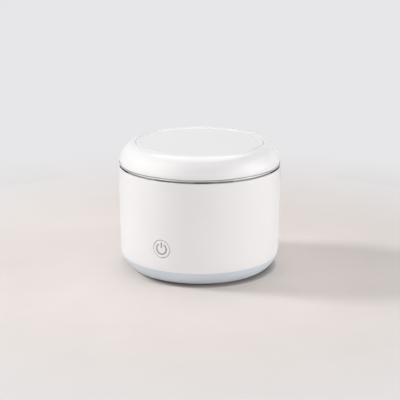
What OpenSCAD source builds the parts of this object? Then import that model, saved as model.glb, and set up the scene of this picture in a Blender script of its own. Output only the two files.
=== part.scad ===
// Ultrasonic retainer cleaner: a drawn steel tank in a moulded housing, with a lift-off pillow lid.
// Millimetres. The feet stand on z = 0, the power button faces -Y and the power inlet faces +Y.

/* [Body] */
// Width from the tank's inside to the housing's outside at its top edge
side_w = 12; // [11:0.1:18]
// Height over the driver board for its parts, up to the piezo disc
drive_h = 15.6; // [14:0.1:24]
// Height of the base cover, from its underside to the housing
cover_h = 9.1; // [8.5:0.1:10]
// Wall thickness of the housing and the base cover
wall = 2.2; // [1.8:0.1:2.6]
// Floor thickness of the base cover
floor_t = 2.2; // [1.8:0.1:3]
// Draft of the housing's side, in degrees
draft = 0.7; // [0:0.1:1.2]
// Radius of the curve that draws the side in under the body
base_arc = 17; // [16:0.5:22]
// Height above the cover's underside where that curve starts
base_arc_h = 13.8; // [12:0.1:14.5]

/* [Tank] */
// Inside diameter of the tank
tank_d = 88; // [80:1:110]
// Depth of the tank, from its flange to its floor
tank_depth = 44.5; // [36:0.5:60]
// Thickness of the steel sheet
sheet = 0.8; // [0.6:0.1:1]
// Inside radius between the tank's floor and its side
tank_corner = 10; // [6:0.5:14]
// Outside radius of the bend from the tank's side to its flange
tank_bend = 2; // [1.5:0.1:3]
// Height of the steel band, from the housing to the flange's top
band_h = 2.1; // [1.8:0.1:3]
// Outside radius of the bend from the flange to the band
band_bend = 0.9; // [0.9:0.1:1.4]
// How far the band stands back from the housing's side
band_inset = 0.4; // [0.2:0.1:0.8]
// Gap between the band's lower edge and the housing
band_gap = 0.1; // [0.05:0.05:0.3]
// Thickness of the sealing ring under the flange
tank_gasket_t = 0.6; // [0.4:0.1:0.8]
// Width of the housing's rim that carries the flange
rim_w = 5; // [4:0.5:6]
// Depth of that rim
rim_t = 3.4; // [2.5:0.1:5]

/* [Lid] */
// Height of the lid, from its lower edge to its top
lid_h = 13.75; // [13:0.25:18]
// Gap between the flange and the lid's lower edge
lid_gap = 0.25; // [0.2:0.05:0.6]
// How far the lid's lower edge stands back from the housing's side
lid_inset = 0.2; // [0:0.1:0.6]
// Width of the lid's rounded shoulder
shoulder_w = 11.8; // [11:0.1:14]
// Radius of the upper part of the shoulder
shoulder_arc = 9.2; // [7:0.1:10]
// How far below its edge the lid would be widest
widest_drop = 0.6; // [0.2:0.1:1.5]
// Thickness of the lid's shell and of its liner
lid_wall = 2.2; // [1.8:0.1:2.6]
// Thickness of the disc in the lid's top
disc_t = 1.9; // [1.6:0.1:2.5]
// Width of the disc's raised rim
disc_rim = 2.8; // [2:0.1:5]
// Depth of the dish inside that rim
dish = 0.3; // [0.2:0.05:0.6]
// How far the liner's plug drops into the tank
plug_h = 4; // [2:0.5:8]
// Gap between the plug and the tank's side
plug_gap = 1; // [0.6:0.1:2]
// Thickness of the lid's gasket
lid_gasket_t = 1.5; // [1.2:0.1:2]
// Width of the lid's gasket
lid_gasket_w = 4; // [3:0.5:4.5]

/* [Feet and screws] */
// How far the feet stand out below the cover
foot_proud = 1.2; // [0.8:0.1:2]
// Radius of a foot
foot_r = 4.5; // [3.5:0.1:5.5]
// Depth of a foot's recess
foot_recess = 1; // [0.6:0.1:1.4]
// Distance of a foot's centre from the edge of the cover's underside
foot_edge = 10.2; // [8:0.1:12]
// Distance of a base screw's centre from that edge
screw_edge = 6.7; // [5:0.1:7.5]
// Radius of a base screw's shank
screw_r = 1.45; // [1.2:0.05:1.5]
// Radius of a base screw's head
screw_head_r = 2.75; // [2.4:0.05:2.8]
// Length of a base screw below its head
screw_len = 14; // [12:0.5:16]
// Outside radius of the screw bosses
boss_r = 3.6; // [3:0.1:4]

/* [Button] */
// Height of the button's centre
button_z = 26; // [25:0.5:30]
// Radius of the button's cap
button_r = 6.25; // [5:0.05:7]
// Gap around the cap
button_gap = 0.25; // [0.2:0.05:0.4]
// Travel of the button
button_travel = 0.5; // [0.3:0.1:0.6]

/* [Power inlet] */
// Height of the inlet's centre above the driver board
inlet_rise = 6.4; // [6:0.1:7]
// Radius of the plug's barrel
plug_r = 2.75; // [2:0.05:2.9]
// Gap between the plug's barrel and the jack's entry
inlet_gap = 0.35; // [0.2:0.05:0.4]

/* [Transducer and boards] */
// Diameter of the piezo disc
piezo_d = 50; // [35:1:52]
// Thickness of the piezo disc
piezo_t = 3; // [2:0.1:3.5]
// Gap between the driver board's long edges and the screw posts
board_gap = 3.2; // [2:0.1:4]
// Gap between the driver board's corners and the cover's lip
board_corner_gap = 11.7; // [10:0.1:13]
// Thickness of the driver board
board_t = 1.6; // [1:0.1:1.6]
// Height of the posts under the driver board
standoff_h = 5.6; // [5.4:0.1:6.5]
// Width of the button board
button_board_w = 34; // [32:0.5:36]
// Height of the button board
button_board_h = 19; // [17:0.5:20]
// Thickness of the button board
button_board_t = 1.2; // [0.8:0.1:1.4]

/* [Hidden] */
$fn = 96;
arc_steps = 10;
cut = 0.5;
clear = 0.15;

// Heights from the feet upwards
z_cover = foot_proud;
z_floor = z_cover + floor_t;
z_part = z_cover + cover_h;
z_board = z_floor + standoff_h;
z_board_top = z_board + board_t;
z_piezo = z_board_top + drive_h;
z_under_tank = z_piezo + piezo_t;
z_tank = z_under_tank + sheet;
z_flange = z_tank + tank_depth;
z_rim = z_flange - band_h;
z_seat = z_flange - sheet - tank_gasket_t;
z_lid = z_flange + lid_gap;
z_top = z_lid + lid_h;

// Skin of the body: a drafted side above, an arc below
tank_r = tank_d / 2;
body_r = tank_r + side_w;
z_arc = z_cover + base_arc_h;
function side_r(z) = body_r - (z_rim - z) * tan(draft);
arc_c = side_r(z_arc) - base_arc;
function skin_r(z, inset) = z >= z_arc ? side_r(z) - inset
    : arc_c + sqrt(pow(base_arc - inset, 2) - pow(z_arc - z, 2));
function skin_z(r, inset) = z_arc - sqrt(pow(base_arc - inset, 2) - pow(r - arc_c, 2));

// Points of an arc about c, and of the skin between two heights
function arc_points(c, r, a0, a1) =
    [for (i = [0 : arc_steps]) let (a = a0 + (a1 - a0) * i / arc_steps) c + r * [cos(a), sin(a)]];
function skin_points(z0, z1, inset) =
    [for (i = [0 : arc_steps]) let (z = z0 + (z1 - z0) * i / arc_steps) [skin_r(z, inset), z]];

// Rim of the housing and band of the tank
edge_chamfer = 0.4;
skirt_gap = 0.3;
band_r = body_r - band_inset;
spigot_r = band_r - sheet - skirt_gap;
rim_r = spigot_r - rim_w;
z_rim_under = z_seat - rim_t;
gasket_inset = 0.5;

// Lip of the base cover
lip_t = 1.6;
lip_h = 3;
lip_gap = 0.2;
lip_r = skin_r(z_part, wall) - lip_gap;
lip_in = lip_r - lip_t;
notch_gap = 0.9;

// Base screws and their bosses
screw_gap = 0.05;
screw_head_h = 2;
head_gap = 0.4;
pass_gap = 0.25;
head_recess = 1;
post_wall = 1;
z_head_seat = z_cover + head_recess + screw_head_h;
boss_rise = 1.7;
boss_end_t = 5;
pilot_over = 1;
z_boss = z_part + boss_rise;
z_boss_top = z_head_seat + screw_len + boss_end_t;
rib_t = 2;
rib_gap = 0.4;
post_r = screw_head_r + head_gap + post_wall;
base_r = skin_r(z_cover, 0);
screw_circle = base_r - screw_edge;
foot_circle = base_r - foot_edge;

// Driver board on the base cover
board_d = 2 * (screw_circle * sin(45) - post_r - board_gap);
board_w = 2 * sqrt(pow(lip_in - board_corner_gap, 2) - pow(board_d / 2, 2));
hole_inset = 4;
standoff_r = 2.8;
board_screw_r = 1.15;
board_screw_head_r = 2.1;
board_screw_head_h = 1.5;
board_screw_len = 5;
board_corner = 2;
tongue_w = 16;
tongue_gap = 1.2;
tongue_end = sqrt(pow(lip_in - tongue_gap, 2) - pow(tongue_w / 2, 2));

// Parts on the driver board: their places from its centre, and their sizes
connector_at = [10, 13];
connector_size = [5, 7, 6];
connector_corner = 0.5;
button_connector_inset = 4.5;
button_connector_at = [0, button_connector_inset - board_d / 2];
button_connector_size = [connector_size[1], connector_size[0], connector_size[2]];
z_connector = z_board_top + connector_size[2];
lead_r = 0.6;
lead_pitch = 2.5;
lead_bend = 2;
lead_run = 9;
core_at = [-14, -2];
core_size = [20, 6, 13];
core_leg = 3.2;
core_centre = 5.5;
coil_gap = 0.2;
coil_over = 3.4;
coil_corner = 2;
choke_at = [21, -7];
choke_r = 5;
choke_waist_r = 4.2;
choke_end_t = 1.2;
choke_h = 9;
can_at = [20, 7];
can_r = 4;
can_h = 12;
can_groove_z = 1.4;
can_groove = 0.4;
film_at = [5, -4];
film_size = [6, 13, 10.5];
film_corner = 0.8;
transistor_at = [-14, 13];
transistor_size = [6.6, 6.1, 2.3];
tab_size = [5.4, 3, 0.6];
tab_out = 1;
chip_at = [3, 7];
chip_size = [5, 4, 1.6];
chip_corner = 0.3;
ribbon_w = 5;
ribbon_t = 1;
ribbon_bend = 3;
ribbon_drop = 6;
screw_end_gap = 0.5;

// Power inlet
z_inlet = z_board_top + inlet_rise;
inlet_r = plug_r + inlet_gap;
plug_grip_t = 1.6;
inlet_hole_r = inlet_r + plug_grip_t;
jack_entry_len = 3;
jack_w = 9;
jack_len = 13.5;
jack_h = 11;
jack_bore_gap = 0.1;
jack_pin_r = 1.05;
jack_pin_gap = 0.2;
jack_pin_back = jack_entry_len + jack_pin_gap;
jack_bore_len = 9.5;
jack_setback = 2;
jack_face_y = skin_r(z_inlet, wall) - jack_setback;

// Button, its sleeve and its board
flange_w = 1.1;
flange_r = button_r + button_gap + flange_w;
flange_t = 1;
flange_gap = 0.3;
sleeve_gap = 0.3;
sleeve_t = 1.5;
sleeve_len = 3.5;
stem_r = 2;
stem_len = 0.9;
plunger_r = 1.6;
plunger_out = 0.9;
plunger_gap = 0.15;
switch_w = 6;
switch_h = 3.3;
switch_corner = 0.6;
wall_in_r = skin_r(button_z - flange_r, wall);
flange_y = -sqrt(pow(wall_in_r, 2) - pow(flange_r, 2)) + flange_gap;
stem_y = flange_y + flange_t;
plunger_y = stem_y + stem_len;
switch_y = plunger_y + plunger_out;
button_board_y = switch_y + switch_h;
button_board_drop = 10.5;
sleeve_in = flange_r + sleeve_gap;
button_post_r = 2.2;
button_post_gap = 0.6;
button_post_x = sleeve_in + sleeve_t + button_post_r + button_post_gap;

// Lid
lid_r = body_r - lid_inset;
disc_r = lid_r - shoulder_w;
z_wide = z_lid - widest_drop;
z_arc_lid = z_top - shoulder_arc;
lid_rise = z_arc_lid - z_wide;
side_arc = (pow(lid_rise, 2) + pow(shoulder_w, 2) - pow(shoulder_arc, 2))
    / (2 * (shoulder_w - shoulder_arc));
arc_join = atan2(lid_rise, side_arc - shoulder_w);
lid_foot = asin((widest_drop + edge_chamfer) / side_arc);
seal_gap = 0.05;
gasket_groove = 0.8;
z_liner = z_flange + seal_gap + lid_gasket_t - gasket_groove;
z_liner_top = z_liner + lid_wall;
liner_step = 0.3;
liner_gap = 0.15;
liner_r = lid_r - lid_wall - liner_step;
z_disc = z_top - disc_t;
top_t = 2;
z_lid_under = z_disc - top_t;
seam = 0.15;
seam_round = 0.7;
z_seam = z_arc_lid + sqrt(pow(shoulder_arc - seam_round, 2) - pow(seam_round, 2));
gasket_edge = 2.3;
lid_gasket_r = liner_r - gasket_edge;
plug_chamfer = 1;
plug_edge_r = tank_r - plug_gap;
z_plug = z_flange - plug_h;

white = [0.95, 0.95, 0.94];
gloss_white = [0.97, 0.97, 0.97];
pale_blue = [0.75, 0.79, 0.83];
steel = [0.72, 0.73, 0.75];
silicone = [0.86, 0.87, 0.88];
rubber = [0.2, 0.2, 0.21];
board_green = [0.09, 0.36, 0.22];
black = [0.1, 0.1, 0.11];
ceramic = [0.86, 0.83, 0.74];
ferrite = [0.22, 0.22, 0.24];
tape_yellow = [0.86, 0.74, 0.25];

// A round rod along +Y
module rod_y(x, z, y0, y1, r) {
    translate([x, y0, z]) rotate([-90, 0, 0]) cylinder(r = r, h = y1 - y0);
}

// A round rod along +Z
module rod_z(x, y, z0, z1, r) {
    translate([x, y, z0]) cylinder(r = r, h = z1 - z0);
}

// A block on a board, centred on a place, with rounded upright edges
module block(at, z0, size, corner) {
    translate([at[0], at[1], z0]) linear_extrude(size[2]) rounded(size[0], size[1], corner);
}

// A rectangle with round corners
module rounded(w, d, corner) {
    square([w - 2 * corner, d], center = true);
    square([w, d - 2 * corner], center = true);
    for (sx = [-1, 1], sy = [-1, 1])
        translate([sx * (w / 2 - corner), sy * (d / 2 - corner)]) circle(corner);
}

// Places its children at the four base screws
module at_screws() {
    for (i = [0 : 3])
        rotate(45 + 90 * i) translate([screw_circle, 0, 0]) children();
}

// Places its children at the four holes of the driver board
module at_board_holes() {
    for (sx = [-1, 1], sy = [-1, 1])
        translate([sx * (board_w / 2 - hole_inset), sy * (board_d / 2 - hole_inset), 0]) children();
}

// The body's outside, or a surface inset from it, as one solid that trims what must stay inside
module skin(inset) {
    rotate_extrude() polygon(concat([[0, z_part]], skin_points(z_part, z_arc, inset),
        [[body_r - inset, z_rim], [0, z_rim]]));
}

// Lid: an outer shell of two arcs, with a seat for the disc behind a rounded edge and a step for the liner
module lid_shell() {
    side_c = [lid_r - side_arc, z_wide];
    top_c = [disc_r, z_arc_lid];
    seam_c = [disc_r + seam_round, z_seam];
    seam_join = atan2(z_seam - z_arc_lid, seam_round);
    inner_arc = shoulder_arc - lid_wall;
    edge_r = lid_r - side_arc * (1 - cos(lid_foot));
    color(gloss_white) rotate_extrude() polygon(concat(
        [[edge_r - edge_chamfer, z_lid]],
        arc_points(side_c, side_arc, lid_foot, arc_join),
        arc_points(top_c, shoulder_arc, arc_join, seam_join),
        arc_points(seam_c, seam_round, seam_join, 180),
        [[disc_r, z_disc], [0, z_disc], [0, z_lid_under]],
        arc_points(top_c, inner_arc, asin((z_lid_under - z_arc_lid) / inner_arc), 0),
        [[disc_r + inner_arc, z_liner_top], [liner_r + liner_gap, z_liner_top],
            [liner_r + liner_gap, z_lid]]));
}

// Disc let into the lid, with a rounded edge and a shallow dish inside its rim
module lid_top_disc() {
    r = disc_r - seam;
    dish_r = disc_r - disc_rim;
    color(gloss_white) rotate_extrude() polygon(concat([[0, z_disc], [r, z_disc]],
        arc_points([r - seam_round, z_top - seam_round], seam_round, 0, 90),
        [[dish_r + dish, z_top], [dish_r, z_top - dish], [0, z_top - dish]]));
}

// Pan that closes the lid, with a plug for the tank's mouth and a groove for the gasket
module lid_liner() {
    inner_r = plug_edge_r - lid_wall;
    groove_in = lid_gasket_r - lid_gasket_w;
    z_groove = z_liner + gasket_groove;
    color(white) rotate_extrude() polygon([[0, z_plug], [plug_edge_r - plug_chamfer, z_plug],
        [plug_edge_r, z_plug + plug_chamfer], [plug_edge_r, z_liner], [groove_in, z_liner],
        [groove_in, z_groove], [lid_gasket_r, z_groove], [lid_gasket_r, z_liner],
        [liner_r, z_liner], [liner_r, z_liner_top], [inner_r, z_liner_top],
        [inner_r, z_plug + lid_wall], [0, z_plug + lid_wall]]);
}

// Flat ring with a rounded lower edge
module lid_gasket() {
    z0 = z_flange + seal_gap;
    z1 = z_liner + gasket_groove;
    r1 = lid_gasket_r - clear;
    r0 = lid_gasket_r - lid_gasket_w + clear;
    round_r = 0.4;
    color(silicone) rotate_extrude() polygon(concat([[r0, z1]],
        arc_points([r0 + round_r, z0 + round_r], round_r, 180, 270),
        arc_points([r1 - round_r, z0 + round_r], round_r, 270, 360), [[r1, z1]]));
}

// Housing: a drafted shell with a rim for the tank, screw bosses, a button sleeve and a hole for the plug
module housing() {
    z_inner = z_rim_under - (skin_r(z_rim_under, wall) - rim_r);
    color(white) difference() {
        union() {
            rotate_extrude() polygon(concat(skin_points(z_part, z_arc, 0),
                [[side_r(z_rim - edge_chamfer), z_rim - edge_chamfer], [body_r - edge_chamfer, z_rim],
                    [spigot_r, z_rim], [spigot_r, z_seat], [rim_r, z_seat], [rim_r, z_rim_under],
                    [skin_r(z_inner, wall), z_inner]],
                skin_points(z_arc, z_part, wall)));
            at_screws() screw_boss();
            intersection() {
                button_sleeve();
                skin(wall / 2);
            }
        }
        at_screws() rod_z(0, 0, z_boss - cut, z_head_seat + screw_len + pilot_over,
            screw_r + screw_gap);
        rod_y(0, button_z, -body_r - cut, flange_y, button_r + button_gap);
        rod_y(0, z_inlet, jack_face_y, body_r + cut, inlet_hole_r);
        for (s = [-1, 1])
            rod_y(s * button_post_x, button_z, button_board_y - board_screw_len, button_board_y + cut,
                board_screw_r + screw_gap);
    }
}

// A boss on the housing's wall, with the rib that carries it
module screw_boss() {
    z_rib = z_part + lip_h + rib_gap;
    rib_end = skin_r(z_rib, wall / 2) - screw_circle;
    rod_z(0, 0, z_boss, z_boss_top, boss_r);
    translate([0, -rib_t / 2, z_rib]) cube([rib_end, rib_t, z_boss_top - z_rib]);
}

// Sleeve round the button and the two posts that carry its board
module button_sleeve() {
    difference() {
        rod_y(0, button_z, -body_r, flange_y + sleeve_len, sleeve_in + sleeve_t);
        rod_y(0, button_z, -body_r - cut, flange_y + sleeve_len + cut, sleeve_in);
    }
    for (s = [-1, 1])
        rod_y(s * button_post_x, button_z, -body_r, button_board_y, button_post_r);
}

// Drawn tank: floor, corner, side, flange and turned-down band in one sheet
module tank() {
    floor_c = [tank_r - tank_corner, z_tank + tank_corner];
    mouth_c = [tank_r + tank_bend, z_flange - tank_bend];
    band_c = [band_r - band_bend, z_flange - band_bend];
    z_skirt = z_rim + band_gap;
    color(steel) rotate_extrude() polygon(concat(
        [[0, z_tank]],
        arc_points(floor_c, tank_corner, -90, 0),
        arc_points(mouth_c, tank_bend, 180, 90),
        arc_points(band_c, band_bend, 90, 0),
        [[band_r, z_skirt], [band_r - sheet, z_skirt]],
        arc_points(band_c, band_bend - sheet, 0, 90),
        arc_points(mouth_c, tank_bend - sheet, 90, 180),
        arc_points(floor_c, tank_corner + sheet, 0, -90),
        [[0, z_under_tank]]));
}

// Flat ring between the housing's rim and the flange
module tank_gasket() {
    color(silicone) difference() {
        rod_z(0, 0, z_seat, z_flange - sheet, spigot_r - skirt_gap);
        rod_z(0, 0, z_seat - cut, z_flange, rim_r + gasket_inset);
    }
}

// Base cover: a dish that carries on the body's curve, with a lip, posts and recesses
module base_cover() {
    z_lip = z_part + lip_h;
    color(pale_blue) difference() {
        union() {
            rotate_extrude() polygon(concat([[0, z_cover]], skin_points(z_cover, z_part, 0),
                [[lip_r, z_part], [lip_r, z_lip - edge_chamfer], [lip_r - edge_chamfer, z_lip],
                    [lip_in, z_lip]],
                skin_points(skin_z(lip_in, wall), z_floor, wall), [[0, z_floor]]));
            at_screws() rod_z(0, 0, z_cover, z_boss, post_r);
            at_board_holes() rod_z(0, 0, z_cover, z_board, standoff_r);
        }
        at_screws() {
            rod_z(0, 0, z_cover - cut, z_head_seat, screw_head_r + head_gap);
            rod_z(0, 0, z_cover, z_boss + cut, screw_r + pass_gap);
        }
        at_board_holes()
            rod_z(0, 0, z_board_top - board_screw_len, z_board + cut, board_screw_r + screw_gap);
        for (i = [0 : 3])
            rotate(90 * i) rod_z(foot_circle, 0, z_cover - cut, z_cover + foot_recess, foot_r + clear);
        translate([-inlet_hole_r - notch_gap, 0, z_part])
            cube([2 * (inlet_hole_r + notch_gap), body_r, lip_h + cut]);
    }
}

// One rubber foot with a chamfered tread
module foot(i) {
    tread = 0.5;
    color(rubber) rotate(90 * i) translate([foot_circle, 0, 0]) rotate_extrude()
        polygon([[0, 0], [foot_r - tread, 0], [foot_r, tread], [foot_r, foot_proud + foot_recess],
            [0, foot_proud + foot_recess]]);
}

// Four pan-head screws that hold the cover to the housing
module base_screws() {
    color(steel) at_screws() {
        rod_z(0, 0, z_head_seat - screw_head_h, z_head_seat, screw_head_r);
        rod_z(0, 0, z_head_seat, z_head_seat + screw_len, screw_r);
    }
}

// Ceramic disc bonded under the tank
module piezo_disc() {
    color(ceramic) rod_z(0, 0, z_under_tank - piezo_t, z_under_tank, piezo_d / 2);
}

// A lead from the connector: up, across and up again to the disc
module piezo_lead(dy) {
    z_run = (z_connector + z_piezo) / 2;
    x0 = connector_at[0];
    x1 = x0 - lead_run;
    translate([0, connector_at[1] + dy, 0]) {
        rod_z(x0, 0, z_connector, z_run - lead_bend, lead_r);
        translate([x0 - lead_bend, 0, z_run - lead_bend]) lead_corner(0);
        translate([x1 + lead_bend, 0, z_run]) rotate([0, 90, 0])
            cylinder(r = lead_r, h = lead_run - 2 * lead_bend);
        translate([x1 + lead_bend, 0, z_run + lead_bend]) lead_corner(180);
        rod_z(x1, 0, z_run + lead_bend, z_piezo, lead_r);
    }
}

// A quarter turn of a lead in the XZ plane
module lead_corner(start) {
    rotate([90, 0, 0]) rotate(start) rotate_extrude(angle = 90) translate([lead_bend, 0]) circle(lead_r);
}

module piezo_lead_live() {
    color("firebrick") piezo_lead(lead_pitch / 2);
}

module piezo_lead_return() {
    color(black) piezo_lead(-lead_pitch / 2);
}

// Driver board with a tongue that reaches back to the power inlet
module driver_board() {
    color(board_green) difference() {
        translate([0, 0, z_board]) linear_extrude(board_t) {
            rounded(board_w, board_d, board_corner);
            translate([-tongue_w / 2, 0]) square([tongue_w, tongue_end]);
        }
        at_board_holes() rod_z(0, 0, z_board - cut, z_board_top + cut, board_screw_r + pass_gap);
    }
}

// Four small screws that hold the driver board
module board_screws() {
    color(steel) at_board_holes() {
        rod_z(0, 0, z_board_top - board_screw_len + screw_end_gap, z_board_top, board_screw_r);
        rod_z(0, 0, z_board_top, z_board_top + board_screw_head_h, board_screw_head_r);
    }
}

// Core of the transformer that steps the drive up for the disc
module transformer_core() {
    window = (core_size[0] - 2 * core_leg - core_centre) / 2;
    color(ferrite) translate([core_at[0], core_at[1] + core_size[1] / 2, z_board_top]) rotate([90, 0, 0])
        linear_extrude(core_size[1]) difference() {
            translate([-core_size[0] / 2, 0]) square([core_size[0], core_size[2]]);
            for (s = [-1, 1])
                translate([s * (core_centre + window) / 2 - window / 2, core_leg])
                    square([window, core_size[2] - 2 * core_leg]);
        }
}

// Taped winding round the core's middle leg
module transformer_coil() {
    window = (core_size[0] - 2 * core_leg - core_centre) / 2;
    high = core_size[2] - 2 * core_leg - 2 * coil_gap;
    wide = core_centre + 2 * (window - coil_gap);
    color(tape_yellow) difference() {
        block(core_at, z_board_top + core_leg + coil_gap,
            [wide, core_size[1] + 2 * coil_over, high], coil_corner);
        translate([core_at[0], core_at[1], z_board_top + core_size[2] / 2])
            cube([core_centre + 2 * coil_gap, core_size[1] + 2 * coil_gap, core_size[2]], center = true);
    }
}

// Drum choke in the power line
module choke() {
    color(ferrite) translate([choke_at[0], choke_at[1], z_board_top]) rotate_extrude()
        polygon([[0, 0], [choke_r, 0], [choke_r, choke_end_t], [choke_waist_r, choke_end_t],
            [choke_waist_r, choke_h - choke_end_t], [choke_r, choke_h - choke_end_t], [choke_r, choke_h],
            [0, choke_h]]);
}

// Upright can with a crimp groove
module input_capacitor() {
    color([0.16, 0.2, 0.36]) translate([can_at[0], can_at[1], z_board_top]) rotate_extrude()
        polygon([[0, 0], [can_r, 0], [can_r, can_groove_z - can_groove], [can_r - can_groove, can_groove_z],
            [can_r, can_groove_z + can_groove], [can_r, can_h - can_groove], [can_r - can_groove, can_h],
            [0, can_h]]);
}

// Moulded box capacitor across the disc
module film_capacitor() {
    color([0.62, 0.2, 0.16]) block(film_at, z_board_top, film_size, film_corner);
}

// Flat power transistor with its tab
module power_transistor() {
    color(black) {
        block(transistor_at, z_board_top, transistor_size, chip_corner);
        block(transistor_at + [0, transistor_size[1] / 2 + tab_out], z_board_top, tab_size, chip_corner);
    }
}

// Small chip that makes the drive signal
module control_chip() {
    color(black) block(chip_at, z_board_top, chip_size, chip_corner);
}

// Plug for the disc's two leads
module piezo_connector() {
    color(white) block(connector_at, z_board_top, connector_size, connector_corner);
}

// Plug for the button's cable
module button_connector() {
    color(white) block(button_connector_at, z_board_top, button_connector_size, connector_corner);
}

// Power jack behind the hole in the housing, with a wider entry to its bore
module dc_jack() {
    color(black) difference() {
        translate([-jack_w / 2, jack_face_y - jack_len, z_board_top]) cube([jack_w, jack_len, jack_h]);
        rod_y(0, z_inlet, jack_face_y - jack_bore_len, jack_face_y + cut, plug_r + jack_bore_gap);
        rod_y(0, z_inlet, jack_face_y - jack_entry_len, jack_face_y + cut, inlet_r);
    }
}

// Contact pin on the jack's axis, short of its face
module jack_pin() {
    color(steel) rod_y(0, z_inlet, jack_face_y - jack_bore_len, jack_face_y - jack_pin_back, jack_pin_r);
}

// Upright board behind the button
module button_board() {
    color(board_green) difference() {
        translate([0, button_board_y + button_board_t, button_z - button_board_drop + button_board_h / 2])
            rotate([90, 0, 0]) linear_extrude(button_board_t)
                rounded(button_board_w, button_board_h, board_corner);
        for (s = [-1, 1])
            rod_y(s * button_post_x, button_z, button_board_y - cut, button_board_y + button_board_t + cut,
                board_screw_r + pass_gap);
    }
}

// Two small screws that hold the button board to its posts
module button_board_screws() {
    head_y = button_board_y + button_board_t;
    color(steel) for (s = [-1, 1]) {
        rod_y(s * button_post_x, button_z, button_board_y - board_screw_len + screw_end_gap,
            head_y + board_screw_head_h / 2, board_screw_r);
        rod_y(s * button_post_x, button_z, head_y, head_y + board_screw_head_h, board_screw_head_r);
    }
}

// Push switch with a well for its plunger
module switch_body() {
    color(black) difference() {
        translate([0, button_board_y, button_z]) rotate([90, 0, 0])
            linear_extrude(switch_h) rounded(switch_w, switch_w, switch_corner);
        rod_y(0, button_z, switch_y - cut, switch_y + button_travel + 2 * plunger_gap,
            plunger_r + plunger_gap);
    }
}

// Flat cable from the button board, over and down into its plug
module button_cable() {
    y0 = button_board_y + button_board_t;
    y1 = button_connector_at[1];
    z0 = max(z_connector + ribbon_bend + ribbon_t, button_z - ribbon_drop);
    bend_c = [y1 - ribbon_bend, z0 - ribbon_bend];
    color(silicone) rotate([90, 0, 90]) linear_extrude(ribbon_w, center = true) polygon(concat(
        [[y0, z0 - ribbon_t / 2], [y0, z0 + ribbon_t / 2]],
        arc_points(bend_c, ribbon_bend + ribbon_t / 2, 90, 0),
        [[y1 + ribbon_t / 2, z_connector], [y1 - ribbon_t / 2, z_connector]],
        arc_points(bend_c, ribbon_bend - ribbon_t / 2, 0, 90)));
}

// Button: a cap cut to the housing's curve, a flange behind the wall and a stem
module power_button() {
    color(white) {
        intersection() {
            rod_y(0, button_z, -body_r - cut, flange_y + flange_t / 2, button_r);
            skin(0);
        }
        rod_y(0, button_z, flange_y, stem_y, flange_r);
        rod_y(0, button_z, flange_y + flange_t / 2, plunger_y, stem_r);
    }
}

// Plunger of the switch, pushed by the stem
module switch_plunger() {
    color(black) rod_y(0, button_z, plunger_y, switch_y + plunger_gap, plunger_r);
}

lid_shell();
lid_top_disc();
lid_liner();
lid_gasket();
housing();
tank();
tank_gasket();
base_cover();
foot(0);  // foot_1
foot(1);  // foot_2
foot(2);  // foot_3
foot(3);  // foot_4
base_screws();
piezo_disc();
piezo_lead_live();
piezo_lead_return();
driver_board();
board_screws();
transformer_core();
transformer_coil();
choke();
input_capacitor();
film_capacitor();
power_transistor();
control_chip();
piezo_connector();
button_connector();
dc_jack();
jack_pin();
button_board();
button_board_screws();
switch_body();
button_cable();
power_button();
switch_plunger();
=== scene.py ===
"""Looks of the ultrasonic retainer cleaner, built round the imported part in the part's own frame.

Shapes are worked out in millimetres and put into their meshes in metres. The power button faces -Y.
"""

import math

import bmesh
import bpy
import numpy as np
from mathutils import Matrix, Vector


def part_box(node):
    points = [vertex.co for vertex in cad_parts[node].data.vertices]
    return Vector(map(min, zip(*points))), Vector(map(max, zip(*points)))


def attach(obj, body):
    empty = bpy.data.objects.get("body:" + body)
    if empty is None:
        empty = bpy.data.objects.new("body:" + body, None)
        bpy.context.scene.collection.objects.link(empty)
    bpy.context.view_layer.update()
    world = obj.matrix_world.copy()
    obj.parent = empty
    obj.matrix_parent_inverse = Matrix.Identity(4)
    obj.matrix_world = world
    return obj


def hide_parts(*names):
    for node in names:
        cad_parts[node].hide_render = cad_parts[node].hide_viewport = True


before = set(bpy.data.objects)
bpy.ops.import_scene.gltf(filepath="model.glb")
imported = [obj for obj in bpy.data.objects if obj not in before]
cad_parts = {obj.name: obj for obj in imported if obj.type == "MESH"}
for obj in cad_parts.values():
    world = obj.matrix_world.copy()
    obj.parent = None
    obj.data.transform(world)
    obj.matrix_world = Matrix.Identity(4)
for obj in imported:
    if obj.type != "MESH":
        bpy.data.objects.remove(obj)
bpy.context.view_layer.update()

# Meshes: points within WELD are joined, and a long run gets points at a distance HOLD from its ends
MM = 0.001
WELD = 0.0002
HOLD = 0.12
LONG_RUN = 5 * HOLD
COLUMNS = 320
EDGE_STEPS = 6
SHARP = math.radians(38)

# Radii of softened edges, from crisp to full
CRISP = 0.1
FINE = 0.15
SOFT = 0.2
EASED = 0.25
ROUND = 0.3
FULL = 0.4


def low(node):
    """Height of a node's lowest point, in millimetres."""
    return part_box(node)[0].z / MM


def high(node):
    """Height of a node's highest point, in millimetres."""
    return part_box(node)[1].z / MM


# Heights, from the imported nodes
Z_COVER = low("base_cover")
Z_PART = low("housing")
Z_BOARD = low("driver_board")
Z_SEAT = high("housing")
Z_UNDER_TANK = low("tank")
Z_FLANGE = high("tank")
Z_LID = low("lid_shell")
Z_TOP = high("lid_top_disc")
Z_PLUG = low("lid_liner")
Z_LINER_TOP = high("lid_liner")
Z_GASKET = low("lid_gasket")

# Skin of the body
BODY_R = 56.0
DRAFT = math.radians(0.7)
BASE_ARC = 17.0
BASE_ARC_H = 13.8
BAND_H = 2.1
WALL = 2.2
FLOOR_T = 2.2
Z_RIM = Z_FLANGE - BAND_H
Z_ARC = Z_COVER + BASE_ARC_H
Z_FLOOR = Z_COVER + FLOOR_T
ARC_C = BODY_R - (Z_RIM - Z_ARC) * math.tan(DRAFT) - BASE_ARC


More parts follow.
